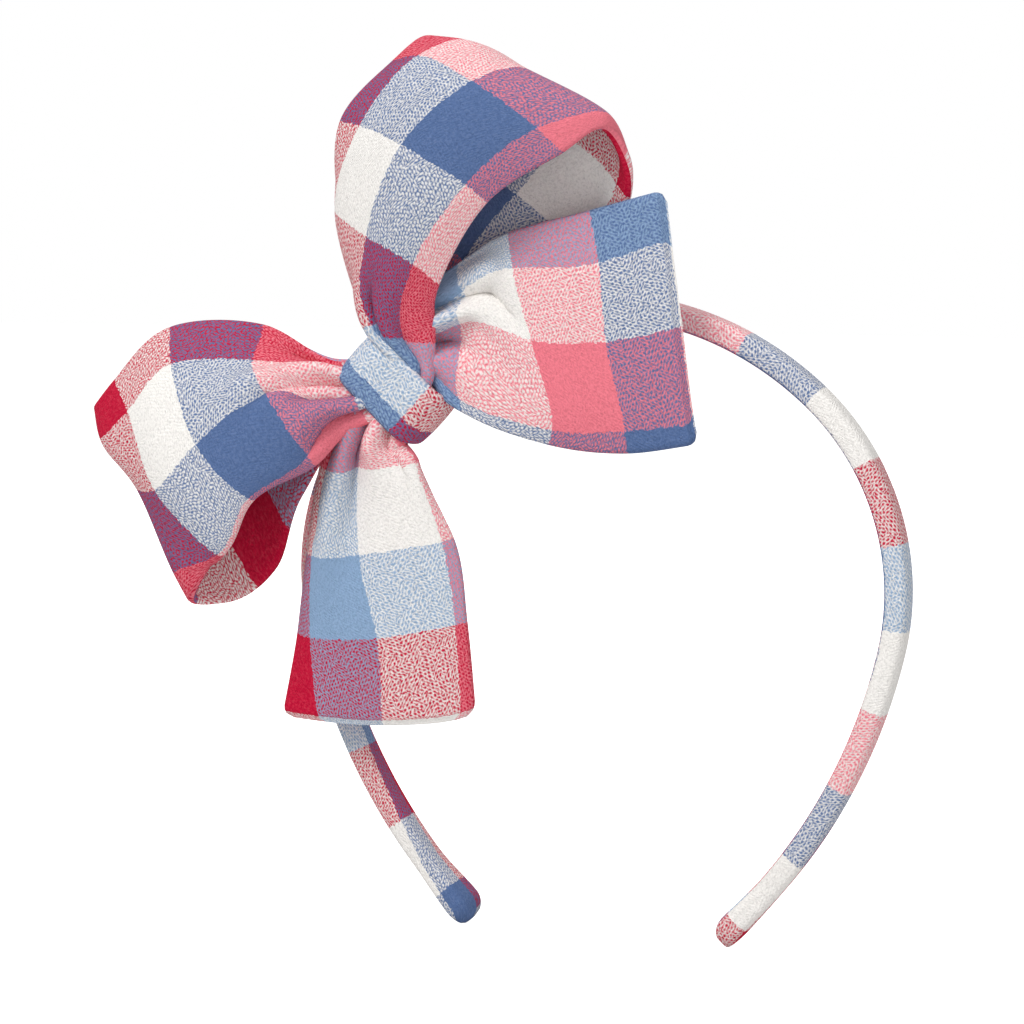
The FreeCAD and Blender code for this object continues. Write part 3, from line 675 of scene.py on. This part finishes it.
band = {
    "crown": (76.0, 42.6),      # radius, mm, and the angle it turns from the top, degrees
    "shoulder": (60.0, 60.0),
    "limb": (130.0, 29.7),
    "width": 8.2,
    "thickness": 5.5,
    "corner": 0.55,             # 1 makes the section an ellipse, and less squares it off
    "step": 1.0,                # size of a mesh face along the arcs, mm
    "tipStep": 0.6,             # and along the straight tips
    "around": 44,               # mesh faces round the section
    "tipLength": 8.0,           # the straight end beyond the arcs, mm
    "flare": 15.0,              # the length over which the band widens to its tip, mm
    "tipWidth": 11.4,
    "tipThickness": 6.2,
    "nose": 2.8,                # the folded cover stands this far past the end, mm
    "noseStart": 1.8,           # where the fold begins to narrow, mm before the end
    "noseWidth": 0.3,           # share of the section left at the point
    "noseOut": 1.7,             # how far the point lies towards the outer side, mm
    # the cloth's start along the bolt by places along the hoop, from the right tip, mm
    "places": (0, 45, 150, 340, 390),
    "weft": (62.5, 62.3, 60.5, 72, 72),
    # the seam winds round the section: its angle from the front, and the cloth's start there
    "seamPlaces": (0, 28, 70, 150, 340, 375, 388),
    "seamAngle": (-52, -52, -52, -52, -106, -90, -90),
    "warp": (51.5, 50.5, 38.7, 38.7, 34.6, 30.8, 27.5),
    # cloth used for each millimetre round the section
    "drawn": (1.08, 1.08, 1.08, 1.08, 1.3, 1.4, 1.4),
    "tipWarp": 45.0,            # the cloth on the small flat at each point
}


def outwardAt(turned):
    # away from the head, at an angle in degrees from the top
    return np.array([math.sin(math.radians(turned)), math.cos(math.radians(turned))])


def hoopLine(values):
    # points, outward directions and lengths along the hoop, from the right tip to the left
    points, outward, length = [], [], []
    stages = (values["crown"], values["shoulder"], values["limb"])
    centre = np.zeros(2)
    turned, run = 0.0, 0.0
    half = []
    for index, (radius, turn) in enumerate(stages):
        if index:
            before = stages[index - 1][0]
            centre = centre + outwardAt(turned) * (before - radius)
        arc = math.radians(turn) * radius
        steps = max(2, int(arc / values["step"]))
        for step in range(steps):
            out = outwardAt(turned + turn * step / steps)
            half.append((centre + out * radius, out, run + arc * step / steps))
        run += arc
        turned += turn
    out = outwardAt(turned)
    end = centre + out * stages[-1][0]
    onward = np.array([out[1], -out[0]])
    half.append((end, out, run))
    straight = values["tipLength"] + values["nose"]
    extra = int(straight / values["tipStep"])
    for step in range(1, extra + 1):
        reach = straight * step / extra
        half.append((end + onward * reach, out, run + reach))
    full = run + values["tipLength"]
    for point, out, place in reversed(half):
        points.append(point)
        outward.append(out)
        length.append(full - place)
    for point, out, place in half[1:]:
        points.append(point * (-1, 1))
        outward.append(out * (-1, 1))
        length.append(full + place)
    return np.array(points), np.array(outward), np.array(length)


def roundedRing(wide, thick, start, count, corner):
    # places round a rounded rectangle from its seam: towards the front, and out from the head
    ring = []
    for index in range(count):
        angle = start + 2 * math.pi * index / count
        front, out = math.cos(angle), math.sin(angle)
        ring.append((wide / 2 * math.copysign(abs(front) ** corner, front),
                     thick / 2 * math.copysign(abs(out) ** corner, out)))
    return np.array(ring)


def bandPiece(name, values, material):
    points, outward, length = hoopLine(values)
    rows, ringSize = len(points), values["around"]
    total = length[0] + length[-1]
    vertices, arcs = [], []
    for point, out, place in zip(points, outward, length):
        fromTip = min(place, total - place)
        flare = eased(np.clip(1 - max(0.0, fromTip) / values["flare"], 0, 1))
        wide = values["width"] + (values["tipWidth"] - values["width"]) * flare
        thick = values["thickness"] + (values["tipThickness"] - values["thickness"]) * flare
        # the section narrows as a quarter circle to the nose's point
        opened = np.clip((fromTip + values["nose"]) / (values["nose"] + values["noseStart"]), 0, 1)
        close = values["noseWidth"] + (1 - values["noseWidth"]) * math.sqrt(1 - (1 - opened) ** 2)
        seam = math.radians(np.interp(place, values["seamPlaces"], values["seamAngle"]))
        ring = roundedRing(wide, thick, seam, ringSize, values["corner"]) * close
        middle = point - out * (values["thickness"] / 2 - values["noseOut"] * (1 - close))
        for acrossBand, lift in ring:
            vertices.append((middle[0] + out[0] * lift, -acrossBand, middle[1] + out[1] * lift))
        closed = np.vstack([ring, ring[:1]])
        sides = np.linalg.norm(np.diff(closed, axis=0), axis=1)
        arcs.append(np.concatenate([[0], np.cumsum(sides)]))
    weft = np.interp(length, values["places"], values["weft"])
    warp = np.interp(length, values["seamPlaces"], values["warp"])
    used = np.interp(length, values["seamPlaces"], values["drawn"])

    def place(row, column, start):
        return clothPlace((-1, weft[row], used[row], warp[row]), length[row], arcs[row][column])

    faces, corners = shellOf(rows, ringSize, place)
    for row in (0, rows - 1):
        cap = list(range(row * ringSize, (row + 1) * ringSize))
        if row == 0:
            cap.reverse()
        faces.append(tuple(cap))
        corners += [clothPlace((-1, weft[row], 1, values["tipWarp"]), length[row], 0)] * ringSize
    return meshPiece(name, np.array(vertices) * millimetre, faces, corners, material)


sleeve = bandPiece("band_sleeve", band, cloth)
dress(sleeve, "band_cover")
print("band sleeve", len(sleeve.data.polygons), "faces")


wrap = {
    "width": 14.5,
    "thickness": 2.0,
    "edgeRound": 1.3,
    "crown": 0.5,               # how far the strip's middle stands out from its edges, mm
    "step": 0.8,
    # the middle of the strip's cloth as it goes round: away from the head, and forward
    "path": ((-6.8, 0.6), (-10.6, 5), (-10.9, 9.5), (-9.9, 13.4), (0, 15.1), (9.9, 13.8),
             (10.6, 9), (10.2, 3.5), (8.3, -3.6), (3, -5.3), (-1.6, -4)),
    "facing": (1, 60, 1, 41.5),
    "lining": (1, 110, 1, 41),
}


def wrapPiece(name, values, material):
    path = np.array(values["path"], float)
    closed = np.vstack([path[-2:], path, path[:3]])
    knots = np.concatenate([[0], np.cumsum(np.linalg.norm(np.diff(closed, axis=0), axis=1))])
    first, last = knots[2], knots[2 + len(path)]
    rows = int((last - first) / values["step"])
    places = np.linspace(first, last, rows, endpoint=False)
    line = curveThrough(knots, closed, places)
    run = np.roll(line, -1, axis=0) - np.roll(line, 1, axis=0)
    run /= np.linalg.norm(run, axis=1, keepdims=True)
    out = np.stack([run[:, 1], -run[:, 0]], axis=1)
    if (out * (line - line.mean(axis=0))).sum() < 0:
        out = -out
    counts = int(values["width"] / values["step"]) + 3
    across = np.linspace(-0.5, 0.5, counts) * values["width"]
    edge = (values["width"] / 2 - np.abs(across)) / values["edgeRound"]
    half = values["thickness"] / 2 * np.sqrt(1 - (1 - np.clip(edge, 0, 1)) ** 2)
    crown = values["crown"] * (1 - (2 * across / values["width"]) ** 2)
    # the section's outer face, then its inner face back again without the shared edges
    profile = list(zip(across, crown + half)) + list(zip(across, crown - half))[::-1][1:-1]
    vertices = [(side, away + outAway * lift, forward + outForward * lift)
                for (away, forward), (outAway, outForward) in zip(line, out)
                for side, lift in profile]
    # one row more than the mesh has, since the strip closes on its start
    along = np.arange(rows + 1) * (last - first) / rows
    faces, corners = shellOf(rows, len(profile), twoFaced(values, along, across), True)
    return meshPiece(name, placeInBow(np.array(vertices)), faces, corners, material)


knot = wrapPiece("knot_wrap_cloth", wrap, cloth)
dress(knot, "knot_wrap")
print("knot wrap", len(knot.data.polygons), "faces")


studio = {
    "distance": 650.0,
    "azimuth": 20.0,
    "elevation": 6.0,
    "target": (-20.1, 0.0, 26.65),
    "lens": 101.95,
    "sensor": 36.0,
    "floorDrop": 0.2,
    "floorSize": 6.0,           # metres
    "floor": 0.7,               # how much light the floor gives back
    "roomLight": 0.25,
    # name, place and size in millimetres, watts
    "lamps": (
        ("key", (-450, -850, 950), 550, 11.0),
        ("fill", (800, -700, 350), 900, 3.9),
        ("top", (0, 200, 1100), 900, 3.2),
        ("back", (-200, 1000, 400), 1000, 4.4),
    ),
}


def look(position, target):
    return (target - position).to_track_quat("-Z", "Y").to_euler()


def floorPaper(values):
    # pale paper, which a camera sees as plain white
    paper = Material("paper")
    grey = values["floor"]
    paper.feed(Base_Color=(grey, grey, grey, 1.0), Roughness=0.9, Specular_IOR_Level=0.1)
    seen = paper.node("ShaderNodeLightPath")
    glow = paper.node("ShaderNodeEmission", None, {"Color": white, "Strength": 1.0})
    plain = paper.node("ShaderNodeEmission", None, {"Color": black, "Strength": 0.0})
    lit = paper.node("ShaderNodeMixShader", None, {0: seen, 1: plain, 2: glow})
    surface = Socket(paper, paper.surface.outputs[0])
    both = paper.node("ShaderNodeAddShader", None, {0: lit, 1: surface})
    paper.tree.links.new(both.link, paper.tree.nodes["Material Output"].inputs[0])
    return paper.material


def studioWorld(values):
    # soft light from all round, and plain white where the camera looks past the object
    world = bpy.data.worlds.new("studioWorld")
    bpy.context.scene.world = world
    world.use_nodes = True
    tree = world.node_tree
    tree.nodes.clear()
    path = tree.nodes.new("ShaderNodeLightPath")
    choose = tree.nodes.new("ShaderNodeMixShader")
    output = tree.nodes.new("ShaderNodeOutputWorld")
    tree.links.new(path.outputs["Is Camera Ray"], choose.inputs[0])
    for place, strength in ((1, values["roomLight"]), (2, 1.0)):
        light = tree.nodes.new("ShaderNodeBackground")
        light.inputs[0].default_value = white
        light.inputs[1].default_value = strength
        tree.links.new(light.outputs[0], choose.inputs[place])
    tree.links.new(choose.outputs[0], output.inputs[0])


def studioScene(values):
    azimuth, elevation = math.radians(values["azimuth"]), math.radians(values["elevation"])
    away = Vector((math.sin(azimuth) * math.cos(elevation),
                   -math.cos(azimuth) * math.cos(elevation), math.sin(elevation)))
    target = Vector(values["target"]) * millimetre
    camera = bpy.data.objects.new("camera", bpy.data.cameras.new("camera"))
    camera.data.lens = values["lens"]
    camera.data.sensor_width = values["sensor"]
    camera.location = target + away * values["distance"] * millimetre
    camera.rotation_euler = look(camera.location, target)
    bpy.context.scene.collection.objects.link(camera)
    bpy.context.scene.camera = camera

    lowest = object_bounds()[0].z - values["floorDrop"] * millimetre
    bpy.ops.mesh.primitive_plane_add(size=values["floorSize"], location=(0, 0, lowest))
    floor = bpy.context.object
    floor.name = "floor"
    floor.data.materials.append(floorPaper(values))
    floor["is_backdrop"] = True

    for name, place, size, power in values["lamps"]:
        lamp = bpy.data.objects.new(name, bpy.data.lights.new(name, "AREA"))
        lamp.data.size = size * millimetre
        lamp.data.energy = power
        lamp.location = Vector(place) * millimetre
        lamp.rotation_euler = look(lamp.location, target)
        bpy.context.scene.collection.objects.link(lamp)

    studioWorld(values)
    bpy.context.scene.view_settings.view_transform = "Standard"
    print("studio ready")


studioScene(studio)
